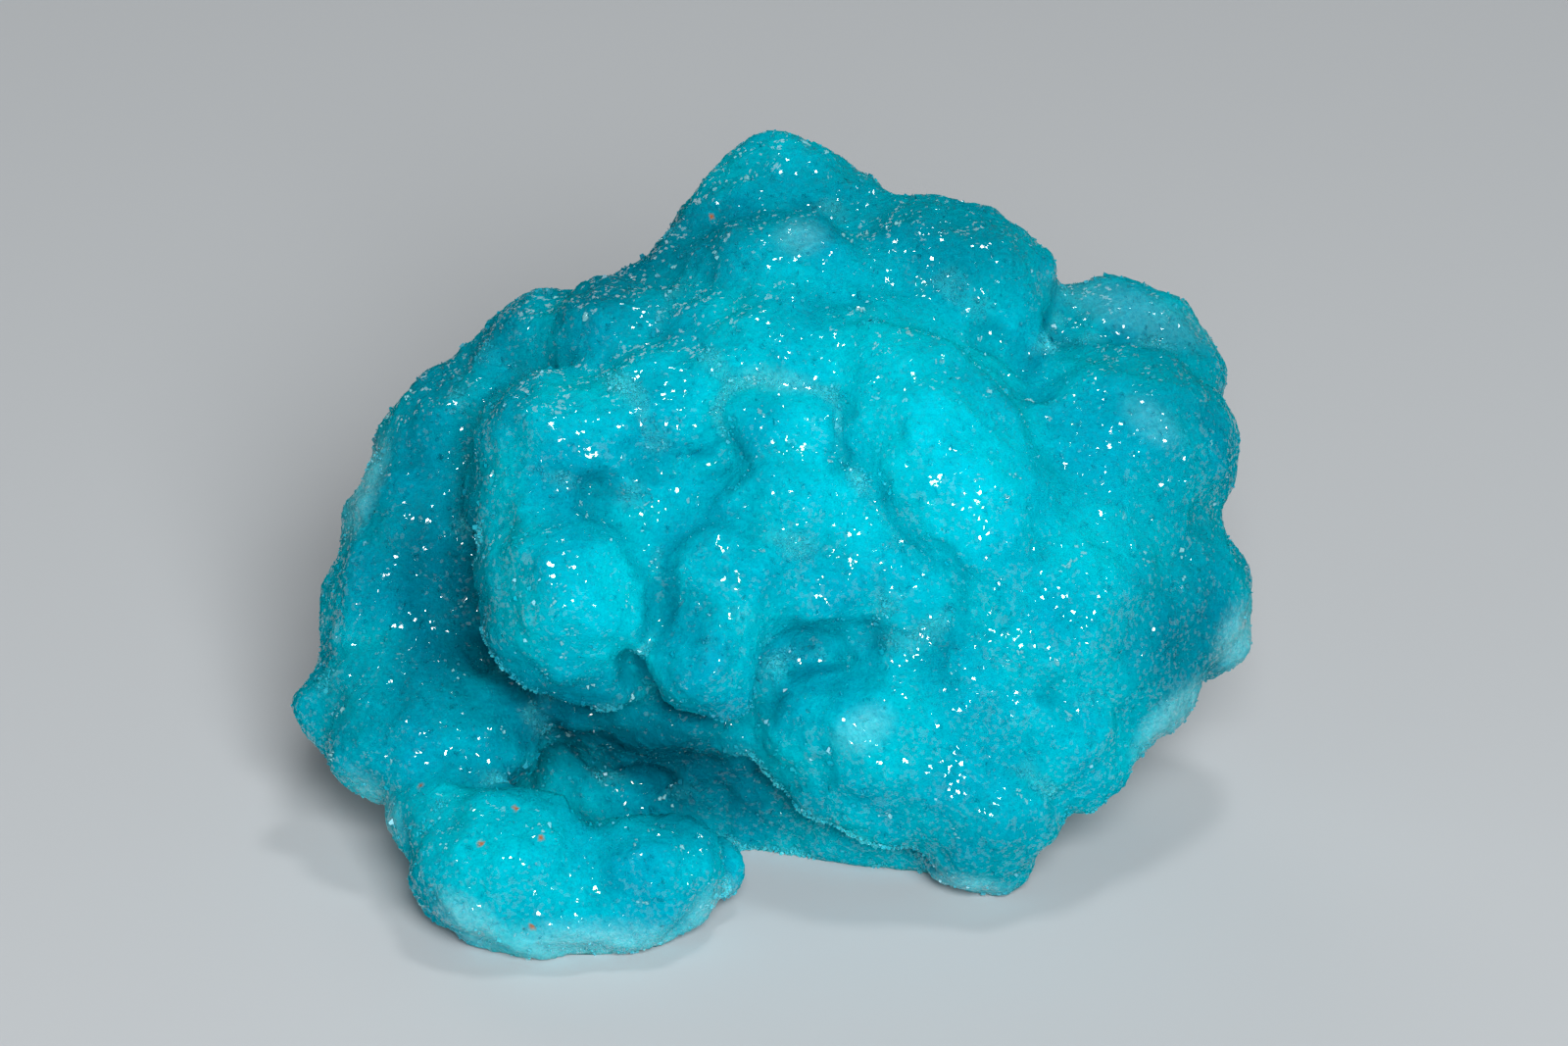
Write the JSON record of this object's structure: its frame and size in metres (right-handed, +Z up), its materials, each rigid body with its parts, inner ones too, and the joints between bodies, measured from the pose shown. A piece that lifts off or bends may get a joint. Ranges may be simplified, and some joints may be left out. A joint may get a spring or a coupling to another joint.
{
  "type": "hemimorphite specimen",
  "caption": "Turquoise hemimorphite crust of rounded, melted lobes with a sparkling druse skin, sawn flat at its foot to stand.",
  "frame": {"origin": "middle of the specimen's box, on the flat foot that it stands on", "axes": "+Z up, +X along the longest extent, the lobed front faces -Y and the broken back faces +Y"},
  "size_m": [0.081, 0.0572, 0.0539],
  "materials": {
    "hemimorphite_druse": "translucent turquoise zinc silicate, sugary with fine glassy crystal faces, paler on thin and broken rims",
    "hemimorphite_crystal": "clear, colourless to very pale blue crystal tips standing on the crust, glassy faces that sparkle"
  },
  "bodies": {
    "root": {"hemimorphite": "hemimorphite_druse"}
  },
  "joints": []
}
